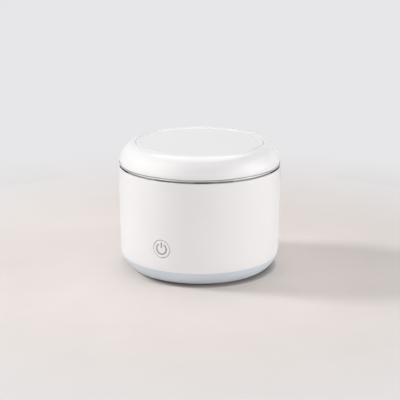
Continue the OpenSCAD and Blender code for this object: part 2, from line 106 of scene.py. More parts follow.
def skin_radius(z, inset=0.0):
    """Radius of the body at a height: a drafted side above, and below it an arc about a ring at ARC_C.

    Heights may be one number or an array, and the radii come back as the same.
    """
    drop = np.clip(Z_ARC - z, 0, BASE_ARC - inset)
    side = BODY_R - (Z_RIM - z) * math.tan(DRAFT) - inset
    return np.where(z >= Z_ARC, side, ARC_C + np.sqrt((BASE_ARC - inset) ** 2 - drop**2))[()]


def skin_point(z, inset=0.0):
    """The skin's (radius, height) at a height."""
    return skin_radius(z, inset), z


# Rim, band and tank
SHEET = 0.8
TANK_R = 44.0
TANK_CORNER = 10.0
TANK_BEND = 2.0
BAND_BEND = 0.9
BAND_INSET = 0.4
BAND_GAP = 0.1
BAND_SOFT = 0.12
SKIRT_GAP = 0.3
RIM_W = 5.0
RIM_T = 3.4
BAND_R = BODY_R - BAND_INSET
SPIGOT_R = BAND_R - SHEET - SKIRT_GAP
RIM_R = SPIGOT_R - RIM_W
Z_RIM_UNDER = Z_SEAT - RIM_T
Z_RIM_ROOT = Z_RIM_UNDER - (skin_radius(Z_RIM_UNDER, WALL) - RIM_R)

# Lid
LID_INSET = 0.2
LID_WALL = 2.2
LID_EDGE = 0.45
LID_EDGE_SOFT = 0.35
SHOULDER_W = 11.8
SHOULDER_ARC = 9.2
WIDEST_DROP = 0.6
TOP_T = 2.0
DISC_T = 1.9
DISC_RIM = 2.8
DISH = 0.3
DISH_ROUND = 0.5
SEAM = 0.05
SEAM_ROUND = 0.7
LINER_INSET = 0.3
LINER_GAP = 0.15
GASKET_INSET = 2.3
GASKET_W = 4.0
GASKET_GROOVE = 0.8
GASKET_GAP = 0.15
PLUG_GAP = 1.0
PLUG_ROUND = 1.2
PLUG_ROOT = 0.5
PAN_ROUND = 0.8
LID_R = BODY_R - LID_INSET
DISC_R = LID_R - SHOULDER_W
LINER_R = LID_R - LID_WALL - LINER_INSET
GASKET_R = LINER_R - GASKET_INSET
PLUG_R = TANK_R - PLUG_GAP

# Base cover, feet and screws
LIP_GAP = 0.2
LIP_T = 1.6
LIP_H = 3.0
NOTCH = 5.6
FOOT_EDGE = 10.2
FOOT_R = 4.5
FOOT_RECESS = 1.0
FOOT_GAP = 0.15
SCREW_EDGE = 6.7
HEAD_R = 2.75
HEAD_H = 2.0
HEAD_GAP = 0.4
HEAD_RECESS = 1.0
SHANK_R = 1.45
SHANK_LEN = 14.0
SHANK_GAP = 0.05
PASS_GAP = 0.25
POST_WALL = 1.0
BOSS_R = 3.6
BOSS_RISE = 1.7
BOSS_END_T = 5.0
LIP_R = skin_radius(Z_PART, WALL) - LIP_GAP
LIP_IN = LIP_R - LIP_T
Z_LIP = Z_PART + LIP_H
Z_LIP_FOOT = Z_ARC - math.sqrt((BASE_ARC - WALL) ** 2 - (LIP_IN - ARC_C) ** 2)
BASE_R = skin_radius(Z_COVER)
FOOT_CIRCLE = BASE_R - FOOT_EDGE
SCREW_CIRCLE = BASE_R - SCREW_EDGE
HEAD_HOLE_R = HEAD_R + HEAD_GAP
PASS_R = SHANK_R + PASS_GAP
POST_R = HEAD_HOLE_R + POST_WALL
Z_FOOT_TOP = Z_COVER + FOOT_RECESS
Z_HEAD = Z_COVER + HEAD_RECESS
Z_HEAD_SEAT = Z_HEAD + HEAD_H
Z_TIP = Z_HEAD_SEAT + SHANK_LEN
Z_BOSS = Z_PART + BOSS_RISE
Z_BOSS_TOP = Z_TIP + BOSS_END_T
QUARTERS = np.radians([45, 135, 225, 315])

# Button and power inlet
BUTTON_Z = 26.0
BUTTON_R = 6.25
HOLE_GAP = 0.1
CAP_GAP = 0.38
FLANGE_W = 1.35
FLANGE_T = 1.0
STEM_R = 2.0
STEM_LEN = 0.9
SLEEVE_GAP = 0.3
SLEEVE_T = 1.5
SLEEVE_LEN = 3.5
BUTTON_POST_EDGE = 2.8
BUTTON_POST_R = 2.2
INLET_RISE = 8.0
INLET_HOLE_R = 4.7
BUTTON_HOLE_R = BUTTON_R + HOLE_GAP
CAP_R = BUTTON_R - CAP_GAP
FLANGE_R = BUTTON_R + FLANGE_W
STEM_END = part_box("power_button")[1].y / MM
FLANGE_Y = STEM_END - STEM_LEN - FLANGE_T
SLEEVE_IN = FLANGE_R + SLEEVE_GAP
SLEEVE_OUT = SLEEVE_IN + SLEEVE_T
SLEEVE_END = FLANGE_Y + SLEEVE_LEN
BUTTON_POST_X = SLEEVE_OUT + BUTTON_POST_EDGE
BUTTON_BOARD_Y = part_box("button_board")[0].y / MM
INLET_Z = Z_BOARD + INLET_RISE


def arc(centre, radius, start, end, steps):
    """Points of an arc: the centre plus the radius times cosine and sine of evenly spaced angles."""
    angle = np.radians(np.linspace(start, end, steps + 1))
    return np.column_stack([centre[0] + radius * np.cos(angle), centre[1] + radius * np.sin(angle)])


def fillet(before, corner, after, radius):
    """A corner's arc, tangent to the sides that run to the points before and after it.

    Its two end arms from the centre are mixed by sines of the angle that is left and the angle done.
    """
    corner = np.asarray(corner, float)
    one = (before - corner) / np.linalg.norm(before - corner)
    two = (after - corner) / np.linalg.norm(after - corner)
    half = math.acos(np.clip(one @ two, -1, 1)) / 2
    centre = corner + (one + two) / np.linalg.norm(one + two) * radius / math.sin(half)
    first = corner + one * radius / math.tan(half) - centre
    last = corner + two * radius / math.tan(half) - centre
    sweep = math.pi - 2 * half
    k = np.linspace(0, 1, EDGE_STEPS + 1)[:, None]
    return centre + (first * np.sin((1 - k) * sweep) + last * np.sin(k * sweep)) / math.sin(sweep)


def held(points):
    """Adds a point near both ends of each long run, so that flats shade flat beside a round edge."""
    step = np.diff(points, axis=0)
    length = np.linalg.norm(step, axis=1)[:, None]
    straight = length[:, 0] > LONG_RUN
    nudge = step / np.maximum(length, WELD) * HOLD
    triple = np.stack([points[:-1], points[:-1] + nudge, points[1:] - nudge], axis=1)
    keep = np.stack([np.ones(len(step), bool), straight, straight], axis=1)
    return np.concatenate([triple[keep], points[-1:]])


def outline(*items, closed=False):
    """Joins corners (across, along) or (across, along, radius) and ready arcs into one outline."""
    runs = [np.atleast_2d(item)[:, :2] for item in items]
    parts = []
    for i, item in enumerate(items):
        if isinstance(item, tuple) and len(item) == 3:
            parts.append(fillet(runs[i - 1][-1], runs[i][0], runs[(i + 1) % len(runs)][0], item[2]))
        else:
            parts.append(runs[i])
    if closed:
        parts.append(parts[0][:1])
    return held(np.concatenate(parts))


def tube(inside, outside, start, end, soft=EASED):
    """Closed outline of a tube's wall, a rectangle with softened corners."""
    corners = [(inside, start), (outside, start), (outside, end), (inside, end)]
    return outline(*[(*corner, soft) for corner in corners], closed=True)


def lathe(section, centre=(0, 0), steps=COLUMNS):
    """An outline of (radius, height) carried round an upright line through the centre.

    x and y are the centre's plus the radius times cosine and sine of the turn.
    """
    turn = np.linspace(0, 2 * math.pi, steps + 1)
    r, z = section[:, :1], section[:, 1:]
    return np.stack([centre[0] + r * np.cos(turn), centre[1] + r * np.sin(turn), z + 0 * turn], -1)


def rod_along_y(section, x, z, steps):
    """An outline of (radius, place along Y) carried round a line along Y through x and z.

    x and z gain the radius times cosine and sine of the turn.
    """
    turn = np.linspace(0, 2 * math.pi, steps + 1)
    r, y = section[:, :1], section[:, 1:]
    return np.stack([x + r * np.cos(turn), y + 0 * turn, z + r * np.sin(turn)], -1)


def prism(plan, bottom, top):
    """A closed plan outline carried upright, with fans to its middle at both ends."""
    middle = plan.mean(axis=0)
    rows = [(middle, bottom), (plan, bottom), (plan, top), (middle, top)]
    return np.stack([np.column_stack([place + 0 * plan, np.full(len(plan), z)]) for place, z in rows])


def cells(grid, first=0):
    """Corner numbers of a grid's four-sided cells, row by row, counted from the first."""
    rows, columns = grid.shape[:2]
    corner = first + np.arange(rows * columns).reshape(rows, columns)
    around = [corner[:-1, :-1], corner[:-1, 1:], corner[1:, 1:], corner[1:, :-1]]
    return np.stack(around, -1).reshape(-1, 4)


def new_object(name, points, faces, finish):
    """An object at the origin, with a mesh of points given in millimetres."""
    mesh = bpy.data.meshes.new(name)
    mesh.from_pydata((points * MM).tolist(), [], faces.tolist())
    mesh.materials.append(finish)
    made = bpy.data.objects.new(name, mesh)
    bpy.context.scene.collection.objects.link(made)
    return made


def piece(name, grids, body, finish, stands_for=()):
    """Joins grids into one mesh with closed seams and poles, and makes it ride on its body."""
    firsts = np.cumsum([0] + [grid.shape[0] * grid.shape[1] for grid in grids])
    points = np.concatenate([grid.reshape(-1, 3) for grid in grids])
    faces = np.concatenate([cells(grid, first) for grid, first in zip(grids, firsts)])
    made = new_object(name, points, faces, finish)
    shell = bmesh.new()
    shell.from_mesh(made.data)
    bmesh.ops.remove_doubles(shell, verts=shell.verts, dist=WELD * MM)
    bmesh.ops.recalc_face_normals(shell, faces=shell.faces)
    shell.to_mesh(made.data)
    shell.free()
    made.data.shade_smooth()
    made.data.set_sharp_from_angle(angle=SHARP)
    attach(made, body)
    if stands_for:
        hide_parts(*stands_for)


# Finishes: pattern scales per metre, the noise levels where a tint is whole, and strengths of relief
CLOUDS = 26.0
GLOSS_CLOUDS = 240.0
GLOSS_DETAIL = 3.0
LINE_DETAIL = 4.0
TINT_ENDS = (0.3, 0.7)
GRAIN_STRENGTH = 0.5
LINE_STRENGTH = 0.35


def linear(red, green, blue):
    """An sRGB colour of 0 to 255 as the linear colour that sockets hold."""
    share = np.array([red, green, blue]) / 255
    return (*np.where(share <= 0.04045, share / 12.92, ((share + 0.055) / 1.055) ** 2.4), 1)


def measured(tree, operation, vector, other=(0, 0, 0)):
    """One number from a vector: its length, or its dot product with another."""
    node = tree.nodes.new("ShaderNodeVectorMath")
    node.operation = operation
    node.inputs[1].default_value = other
    tree.links.new(vector, node.inputs[0])
    return node.outputs["Value"]


def combined(tree, operation, *values):
    """The result of a math node over its values."""
    node = tree.nodes.new("ShaderNodeMath")
    node.operation = operation
    for value, socket in zip(values, node.inputs):
        tree.links.new(value, socket)
    return node.outputs[0]


def smooth_step(tree, value, start, end, gain=1.0):
    """0 up to the start, the whole gain from the end on, and a smooth step between them."""
    step = tree.nodes.new("ShaderNodeMapRange")
    step.interpolation_type = "SMOOTHSTEP"
    step.inputs["From Min"].default_value = start
    step.inputs["From Max"].default_value = end
    step.inputs["To Max"].default_value = gain
    tree.links.new(value, step.inputs["Value"])
    return step.outputs["Result"]


def mixed(tree, share, one, two):
    """Two shaders, mixed by the share of the second."""
    mix = tree.nodes.new("ShaderNodeMixShader")
    for source, socket in zip((share, one, two), mix.inputs):
        tree.links.new(source, socket)
    return mix.outputs[0]


def seen_rays(tree):
    """1 for rays from the eye, from gloss and through glass, 0 for the rest: the largest of three marks."""
    path = tree.nodes.new("ShaderNodeLightPath").outputs
    seen = combined(tree, "MAXIMUM", path["Is Camera Ray"], path["Is Glossy Ray"])
    return combined(tree, "MAXIMUM", seen, path["Is Transmission Ray"])


class Finish:
    """A material's nodes: object coordinates on the left, one shader on the right."""

    def __init__(self, name, **sockets):
        self.material = bpy.data.materials.new(name)
        self.material.use_nodes = True
        self.tree = self.material.node_tree
        self.nodes = self.tree.nodes
        self.links = self.tree.links
        self.shader = self.nodes["Principled BSDF"]
        for socket, value in sockets.items():
            self.shader.inputs[socket.replace("_", " ")].default_value = value
        self.place = self.nodes.new("ShaderNodeTexCoord").outputs["Object"]

    def noise(self, scale, detail=2.0, place=None):
        """Soft random values, about 1/scale metres apart."""
        node = self.nodes.new("ShaderNodeTexNoise")
        node.inputs["Scale"].default_value = scale
        node.inputs["Detail"].default_value = detail
        self.links.new(place or self.place, node.inputs["Vector"])
        return node.outputs["Fac"]

    def rings(self):
        """Coordinates of only the radius and the height, so that a pattern on them runs round the axis."""
        flat = self.nodes.new("ShaderNodeVectorMath")
        flat.operation = "MULTIPLY"
        flat.inputs[1].default_value = (1, 1, 0)
        self.links.new(self.place, flat.inputs[0])
        split = self.nodes.new("ShaderNodeSeparateXYZ")
        self.links.new(self.place, split.inputs[0])
        joined = self.nodes.new("ShaderNodeCombineXYZ")
        self.links.new(measured(self.tree, "LENGTH", flat.outputs["Vector"]), joined.inputs["X"])
        self.links.new(split.outputs["Z"], joined.inputs["Z"])
        return joined.outputs[0]

    def colour(self, value, dark, light):
        """The base colour, mixed from two tints by a value."""
        ramp = self.nodes.new("ShaderNodeValToRGB")
        for element, place, tint in zip(ramp.color_ramp.elements, TINT_ENDS, (dark, light)):
            element.position = place
            element.color = linear(*tint)
        self.links.new(value, ramp.inputs["Fac"])
        self.links.new(ramp.outputs["Color"], self.shader.inputs["Base Color"])
        return ramp.outputs["Color"]

    def roughness(self, value, least, most):
        """Roughness between two levels, by a value."""
        spread = self.nodes.new("ShaderNodeMapRange")
        spread.inputs["To Min"].default_value = least
        spread.inputs["To Max"].default_value = most
        self.links.new(value, spread.inputs["Value"])
        self.links.new(spread.outputs["Result"], self.shader.inputs["Roughness"])

    def grain(self, value, depth, strength):
        """Fine relief by a value, of a depth in metres."""
        bump = self.nodes.new("ShaderNodeBump")
        bump.inputs["Distance"].default_value = depth
        bump.inputs["Strength"].default_value = strength
        self.links.new(value, bump.inputs["Height"])
        self.links.new(bump.outputs["Normal"], self.shader.inputs["Normal"])


def moulded(name, light, dark, rough, grain_scale, grain_depth, **sockets):
    """Moulded plastic or rubber: two close tints in soft clouds, uneven gloss and a fine grain."""
    made = Finish(name, **sockets)
    made.colour(made.noise(CLOUDS), dark, light)
    made.roughness(made.noise(GLOSS_CLOUDS, GLOSS_DETAIL), *rough)
    made.grain(made.noise(grain_scale), grain_depth, GRAIN_STRENGTH)
    return made.material


def turned(name, light, dark, rough, lines, depth):
    """Metal with fine lines round its axis: tint, gloss and relief all follow them."""
    made = Finish(name, Metallic=1.0)
    rings = made.noise(lines, LINE_DETAIL, made.rings())
    made.colour(rings, dark, light)
    made.roughness(rings, *rough)
    made.grain(rings, depth, LINE_STRENGTH)
    return made.material


lid_gloss = moulded("lid_gloss", (241, 240, 240), (239, 238, 238), (0.16, 0.22), 900.0, 2e-6,
                    IOR=1.52, Coat_Weight=1.0, Coat_Roughness=0.05)
body_satin = moulded("body_satin", (241, 240, 241), (238, 237, 238), (0.34, 0.42), 5200.0, 5e-6, IOR=1.5)
base_satin = moulded("base_satin", (214, 222, 230), (210, 218, 226), (0.32, 0.40), 5200.0, 5e-6, IOR=1.5)
tank_steel = turned("tank_steel", (222, 222, 224), (206, 206, 208), (0.05, 0.10), 5200.0, 1e-6)
screw_steel = turned("screw_steel", (186, 186, 188), (160, 160, 163), (0.22, 0.36), 2600.0, 4e-6)
print_grey = moulded("print_grey", (154, 151, 148), (148, 146, 143), (0.45, 0.55), 6000.0, 2e-6)
soft_silicone = moulded("soft_silicone", (226, 228, 230), (219, 221, 224), (0.48, 0.6), 3000.0, 6e-6)
foot_rubber = moulded("foot_rubber", (58, 58, 60), (47, 47, 49), (0.68, 0.82), 2400.0, 2e-5)
piezo_ceramic = moulded("piezo_ceramic", (224, 216, 196), (212, 203, 180), (0.4, 0.6), 3800.0, 8e-6)
lead_red = moulded("lead_red", (160, 34, 28), (140, 26, 22), (0.4, 0.55), 4000.0, 6e-6)
lead_black = moulded("lead_black", (38, 38, 40), (28, 28, 30), (0.4, 0.55), 4000.0, 6e-6)
board_mask = moulded("board_mask", (38, 112, 72), (24, 88, 54), (0.25, 0.4), 1400.0, 2e-5)
ferrite_grey = moulded("ferrite_grey", (74, 74, 78), (54, 54, 58), (0.5, 0.75), 3200.0, 3e-5)
tape_yellow = moulded("tape_yellow", (226, 198, 84), (208, 178, 62), (0.2, 0.35), 900.0, 2e-5)
can_sleeve = moulded("can_sleeve", (44, 56, 98), (34, 44, 82), (0.2, 0.3), 900.0, 5e-6)
box_red = moulded("box_red", (152, 54, 44), (134, 44, 36), (0.3, 0.42), 2400.0, 1e-5)
moulded_black = moulded("moulded_black", (34, 34, 36), (25, 25, 27), (0.4, 0.55), 3600.0, 1e-5)
nylon_white = moulded("nylon_white", (232, 231, 226), (222, 220, 214), (0.4, 0.5), 3600.0, 8e-6)
ribbon_grey = moulded("ribbon_grey", (202, 203, 205), (186, 187, 190), (0.4, 0.55), 1800.0, 1e-5)

# Grids on the body's skin: their columns start at the left side and pass the front first
TURN = np.linspace(-math.pi / 2, 3 * math.pi / 2, COLUMNS + 1)
FRONT = COLUMNS // 4
BACK = 3 * COLUMNS // 4
TO_FRONT = -1
TO_BACK = 1
QUARTER_ROUND = np.linspace(0, math.pi / 2, 6)
SPREAD = np.linspace(0, 1, 7)[:, None, None]

# Axes of a hole: the two across it, then the one along it
ALONG_Y = [0, 2, 1]
ALONG_Z = [0, 1, 2]


def round_body(r, z):
    """Rows of (radius, height) carried round the body: x and -y are the radius times sine and cosine."""
    r, z = np.asarray(r, float)[:, None], np.asarray(z, float)[:, None]
    return np.stack([r * np.sin(TURN), -r * np.cos(TURN), z + 0 * TURN], -1)


def on_skin(places, side, inset=0.0, depth=0.0):
    """Points over places (x, z): y is the root of the skin's radius squared less x squared, less a depth."""
    x, z = places[..., 0], places[..., 1]
    y = side * (np.sqrt(skin_radius(z, inset) ** 2 - x**2) - depth)
    return np.stack([x, y, z], -1)


def around_windows(grid, windows):
    """A grid as strips that leave out its windows: (first row, last row, first column, last column)."""
    strips = []
    done = 0
    for bottom, top, left, right in windows:
        across = slice(left, right + 1)
        strips += [grid[:, done : left + 1], grid[: bottom + 1, across], grid[top:, across]]
        done = right
    return strips + [grid[:, done:]]


def window_edge(grid, window):
    """The points round a window's edge, in order, back to the first."""
    bottom, top, left, right = window
    sides = [grid[bottom, left:right], grid[bottom:top, right], grid[top, right:left:-1],
             grid[top:bottom:-1, left], grid[bottom, left : left + 1]]
    return np.concatenate(sides)


def ways(edge, centre, plane):
    """Unit arrows from a hole's centre to the points of its window's edge, in the plane across the hole."""
    away = edge[:, plane[:2]] - centre
    return away / np.linalg.norm(away, axis=1)[:, None]


def collar(way, centre, section, plane):
    """Rings round a hole's axis: each row has its own radius and its own place along the axis."""
    places = centre + section[:, :1, None] * way
    grid = np.empty((*places.shape[:2], 3))
    grid[..., plane[:2]] = places
    grid[..., plane[2]] = section[:, 1:]
    return grid


def skin_patch(edge, way, centre, radius, side, inset=0.0):
    """The skin between a circle and a window's edge: straight mixes of the two, laid on the skin."""
    circle = centre + radius * way
    return on_skin(circle * (1 - SPREAD) + edge[:, ALONG_Y[:2]] * SPREAD, side, inset)


def skin_rim(way, centre, radius, soft, side):
    """A hole's softened edge in the skin: a quarter round from the skin into the hole."""
    radii = radius + soft * (1 - np.sin(QUARTER_ROUND))
    depths = soft * (1 - np.cos(QUARTER_ROUND))
    return on_skin(centre + radii[:, None, None] * way, side, depth=depths[:, None])


def steps_between(marks, step):
    """Even steps between marks, each mark included."""
    spans = [np.linspace(a, b, max(1, round((b - a) / step)) + 1)[:-1] for a, b in zip(marks, marks[1:])]
    return np.concatenate([*spans, marks[-1:]])


# Housing: the drafted wall with its button hole and inlet, the rim for the tank, and the bosses inside
PART_SOFT = 0.12
RIM_SOFT = 0.45
BUTTON_SOFT = 0.18
INLET_SOFT = 0.35
PART_MARGIN = 0.5
RIM_MARGIN = 0.8
WALL_STEP = 1.1
BUTTON_FRAME = 9.5
BUTTON_COLUMNS = 9
INLET_FRAME = 5.75
INLET_COLUMNS = 6
button_at = np.array([0.0, BUTTON_Z])
inlet_at = np.array([0.0, INLET_Z])
marks = (Z_PART + PART_MARGIN, INLET_Z - INLET_FRAME, BUTTON_Z - BUTTON_FRAME, INLET_Z + INLET_FRAME,
         BUTTON_Z + BUTTON_FRAME, Z_RIM - RIM_MARGIN)
wall_z = steps_between(marks, WALL_STEP)
mark_rows = [int(np.argmin(abs(wall_z - mark))) for mark in marks]
inlet_window = (mark_rows[1], mark_rows[3], BACK - INLET_COLUMNS, BACK + INLET_COLUMNS)
button_window = (mark_rows[2], mark_rows[4], FRONT - BUTTON_COLUMNS, FRONT + BUTTON_COLUMNS)
outer_wall = round_body(skin_radius(wall_z), wall_z)
inner_wall = round_body(skin_radius(wall_z, WALL), wall_z)
grids = []
for wall in (outer_wall, inner_wall):
    grids += around_windows(wall, [button_window, inlet_window])

holes = [(button_window, button_at, BUTTON_HOLE_R, BUTTON_SOFT, TO_FRONT),
         (inlet_window, inlet_at, INLET_HOLE_R, INLET_SOFT, TO_BACK)]
for window, centre, radius, soft, side in holes:
    edge = window_edge(outer_wall, window)
    way = ways(edge, centre, ALONG_Y)
    inner_edge = window_edge(inner_wall, window)
    hole_end = on_skin(centre + radius * way, side, WALL)[None]
    grids += [skin_patch(edge, way, centre, radius + soft, side),
              skin_patch(inner_edge, way, centre, radius, side, WALL),
              np.concatenate([skin_rim(way, centre, radius, soft, side), hole_end])]

rim = outline(skin_point(wall_z[-1]), (BODY_R, Z_RIM, RIM_SOFT), (SPIGOT_R, Z_RIM, SOFT),
              (SPIGOT_R, Z_SEAT, ROUND), (RIM_R, Z_SEAT, ROUND), (RIM_R, Z_RIM_UNDER, ROUND),
              skin_point(Z_RIM_ROOT, WALL), skin_point(wall_z[-1], WALL))
foot_of_wall = outline(skin_point(wall_z[0]), (*skin_point(Z_PART), PART_SOFT),
                       (*skin_point(Z_PART, WALL), PART_SOFT), skin_point(wall_z[0], WALL))
grids += [round_body(*rim.T), round_body(*foot_of_wall.T)]

RIB_T = 2.0
RIB_GAP = 0.4
SLEEVE_INSET = 2.4
BUTTON_POST_INSET = 3.4
BUTTON_PILOT_R = 1.2
boss = tube(SHANK_R + SHANK_GAP, BOSS_R, Z_BOSS, Z_BOSS_TOP)
rib = tube(SCREW_CIRCLE + BOSS_R / 2, LIP_R + WALL / 2, -RIB_T / 2, RIB_T / 2, SOFT)
for quarter in QUARTERS:
    out = np.array([math.cos(quarter), math.sin(quarter)])
    across = np.array([-out[1], out[0]])
    turned_rib = rib[:, :1] * out + rib[:, 1:] * across
    grids += [lathe(boss, SCREW_CIRCLE * out, steps=48), prism(turned_rib, Z_LIP + RIB_GAP, Z_BOSS_TOP)]
sleeve = tube(SLEEVE_IN, SLEEVE_OUT, SLEEVE_INSET - BODY_R, SLEEVE_END)
grids.append(rod_along_y(sleeve, 0, BUTTON_Z, steps=96))
button_post = tube(BUTTON_PILOT_R, BUTTON_POST_R, BUTTON_POST_INSET - BODY_R, BUTTON_BOARD_Y, FINE)
for x in (-BUTTON_POST_X, BUTTON_POST_X):
    grids.append(rod_along_y(button_post, x, BUTTON_Z, steps=40))
piece("housing_shell", grids, "base", body_satin, ["housing"])

# Button: a cap on the skin with a softened edge, a flange behind the wall and a stem
CAP_STEPS = 96
CAP_ROWS = 14
CAP_ROOT = 0.6
ring = np.linspace(0, 2 * math.pi, CAP_STEPS + 1)
cap_way = np.column_stack([np.cos(ring), np.sin(ring)])
flat_rows = np.linspace(0, CAP_R - SOFT, CAP_ROWS)
edge_angle = QUARTER_ROUND[1:]
cap_radii = np.concatenate([flat_rows, CAP_R - SOFT * (1 - np.sin(edge_angle))])
cap_depths = np.concatenate([0 * flat_rows, SOFT * (1 - np.cos(edge_angle))])
cap = on_skin(button_at + cap_radii[:, None, None] * cap_way, TO_FRONT, depth=cap_depths[:, None])
back_of_cap = outline((CAP_R, FLANGE_Y - CAP_ROOT), (CAP_R, FLANGE_Y, SOFT), (FLANGE_R, FLANGE_Y, SOFT),
                      (FLANGE_R, FLANGE_Y + FLANGE_T, SOFT), (STEM_R, FLANGE_Y + FLANGE_T, ROUND),
                      (STEM_R, STEM_END, SOFT), (0, STEM_END))
cap_back = collar(cap_way, button_at, back_of_cap, ALONG_Y)
piece("button_cap", [np.concatenate([cap, cap_back])], "button", body_satin, ["power_button"])

# Printed power symbol on the cap: an open ring and a bar
PRINT_LOW = -0.04
PRINT_HIGH = 0.025
PRINT_SHOULDER = 0.6 * PRINT_HIGH
PRINT_FLAT = 0.94
SYMBOL_R = 3.6
SYMBOL_GAP = 36.0
SYMBOL_HALF = 0.47
SYMBOL_LIFT = 0.06
BAR_LOW = 1.05
BAR_HIGH = 4.25


def unit(arrow):
    """An arrow of length 1."""
    return arrow / np.linalg.norm(arrow)


def printed_stroke(path, half):
    """A thin print along a path of (x, z): an even width with round ends, a little proud of the skin.

    At the ends the half width is the root of the half width squared less the distance past the end squared.
    """
    past = half * np.sin(np.linspace(0, math.pi / 2, 7))
    first_end = path[0] + past[:0:-1, None] * unit(path[0] - path[1])
    last_end = path[-1] + past[1:, None] * unit(path[-1] - path[-2])
    line = np.concatenate([first_end, path, last_end])
    run = np.gradient(line, axis=0)
    run /= np.linalg.norm(run, axis=1)[:, None]
    across = np.column_stack([-run[:, 1], run[:, 0]])
    end = np.sqrt(np.maximum(half**2 - past[1:] ** 2, 0))
    width = np.concatenate([end[::-1], np.full(len(path), half), end])
    share, proud = np.transpose([
        (-1, PRINT_LOW), (-1, PRINT_SHOULDER), (-PRINT_FLAT, PRINT_HIGH), (0, PRINT_HIGH),
        (PRINT_FLAT, PRINT_HIGH), (1, PRINT_SHOULDER), (1, PRINT_LOW), (0, PRINT_LOW), (-1, PRINT_LOW)])
    places = line[:, None] + (width[:, None] * share)[..., None] * across[:, None]
    return on_skin(places, TO_FRONT, depth=-proud)


sweep = np.radians(np.linspace(90 + SYMBOL_GAP, 450 - SYMBOL_GAP, 61))
symbol_ring = button_at + [0, SYMBOL_LIFT] + SYMBOL_R * np.column_stack([np.cos(sweep), np.sin(sweep)])
bar_rise = np.linspace(BAR_LOW, BAR_HIGH, 9)
symbol_bar = button_at + np.column_stack([0 * bar_rise, bar_rise])
symbol = [printed_stroke(path, SYMBOL_HALF) for path in (symbol_ring, symbol_bar)]
piece("power_symbol", symbol, "button", print_grey)

# Base cover: an arc that carries on the skin, a flat underside with recesses, posts and a lip inside
BASE_SOFT = 0.5
BASE_MARGIN = 1.2
COVER_STEP = 0.3
WINDOW_LOW = 31.5
WINDOW_HIGH = 46.0
EIGHTH = COLUMNS // 8
HALF_WINDOW = 8
skin_z = steps_between((Z_COVER + BASE_MARGIN, Z_PART - PART_MARGIN), COVER_STEP)
inside_z = steps_between((Z_FLOOR, Z_LIP_FOOT), COVER_STEP)
skin_arc = np.column_stack(skin_point(skin_z))
inner_arc = np.column_stack(skin_point(inside_z, WALL))
dish = outline((WINDOW_HIGH, Z_COVER), (BASE_R, Z_COVER, BASE_SOFT), skin_arc,
               (*skin_point(Z_PART), PART_SOFT), (LIP_R, Z_PART, SOFT), (LIP_R, Z_LIP, FULL),
               (LIP_IN, Z_LIP, ROUND), inner_arc[::-1], (WINDOW_HIGH, Z_FLOOR))
shell = round_body(*dish.T)
in_notch = (abs(shell[..., 0]) < NOTCH) & (shell[..., 1] > 0) & (shell[..., 2] > Z_PART)
shell[..., 2] = np.where(in_notch, Z_PART, shell[..., 2])
grids = [shell]
middle_rows = np.linspace(0, WINDOW_LOW, 9)
for level in (Z_COVER, Z_FLOOR):
    grids.append(round_body(middle_rows, 0 * middle_rows + level))

# Recesses for feet and screws, by turns, each in a window of the underside
window_rows = np.linspace(WINDOW_LOW, WINDOW_HIGH, 13)
under = round_body(window_rows, 0 * window_rows + Z_COVER)
under = np.concatenate([under, under[:, 1 : EIGHTH + 1]], axis=1)
over = under + [0, 0, FLOOR_T]
foot_hole_r = FOOT_R + FOOT_GAP
foot_section = outline((foot_hole_r + SOFT, Z_COVER), (foot_hole_r, Z_COVER, FINE),
                       (foot_hole_r, Z_FOOT_TOP, FINE), (0, Z_FOOT_TOP))
post_section = outline((HEAD_HOLE_R + FULL, Z_COVER), (HEAD_HOLE_R, Z_COVER, EASED),
                       (HEAD_HOLE_R, Z_HEAD_SEAT, FINE), (PASS_R, Z_HEAD_SEAT, CRISP),
                       (PASS_R, Z_BOSS, SOFT), (POST_R, Z_BOSS, ROUND), (POST_R, Z_FLOOR))
for k in range(1, 9):
    middle = EIGHTH * k
    left = middle - HALF_WINDOW
    right = middle + HALF_WINDOW
    between = slice(right, left + EIGHTH + 1)
    grids += [under[:, between], over[:, between]]
    window = (0, len(window_rows) - 1, left, right)
    is_post = k % 2 == 1
    reach = SCREW_CIRCLE if is_post else FOOT_CIRCLE
    section = post_section if is_post else foot_section
    centre = reach * np.array([math.sin(TURN[middle]), -math.cos(TURN[middle])])
    edge = window_edge(under, window)
    hole = collar(ways(edge, centre, ALONG_Z), centre, section, ALONG_Z)
    grids += [hole[0] * (1 - SPREAD) + edge * SPREAD, hole]
    if is_post:
        grids.append(hole[-1] * (1 - SPREAD) + window_edge(over, window) * SPREAD)
    else:
        grids.append(over[:, left : right + 1])

# Posts for the circuit board: it reaches farther back than its holes, so the back pair mirrors the front pair
BOARD_HOLE_EDGE = 4.0
BOARD_PILOT_R = 1.2
BOARD_POST_R = 2.8
board_low, board_high = (np.array(corner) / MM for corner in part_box("driver_board"))
board_post = tube(BOARD_PILOT_R, BOARD_POST_R, Z_COVER + FLOOR_T / 2, Z_BOARD, FINE)
for x in (board_low[0] + BOARD_HOLE_EDGE, board_high[0] - BOARD_HOLE_EDGE):
    for y in (board_low[1] + BOARD_HOLE_EDGE, -board_low[1] - BOARD_HOLE_EDGE):
        grids.append(lathe(board_post, (x, y), steps=40))
piece("base_dish", grids, "base", base_satin, ["base_cover"])

# Feet: rubber discs with a softened tread
TREAD = 0.5
tread = outline((0, 0), (FOOT_R - TREAD, 0, FULL), (FOOT_R, TREAD, FULL), (FOOT_R, Z_FOOT_TOP, CRISP),
                (0, Z_FOOT_TOP))
for k in range(4):
    angle = math.pi / 2 * k
    centre = FOOT_CIRCLE * np.array([math.cos(angle), math.sin(angle)])
    pad = lathe(tread, centre, steps=72)
    piece(f"foot_pad_{k + 1}", [pad], "base", foot_rubber, [f"foot_{k + 1}"])

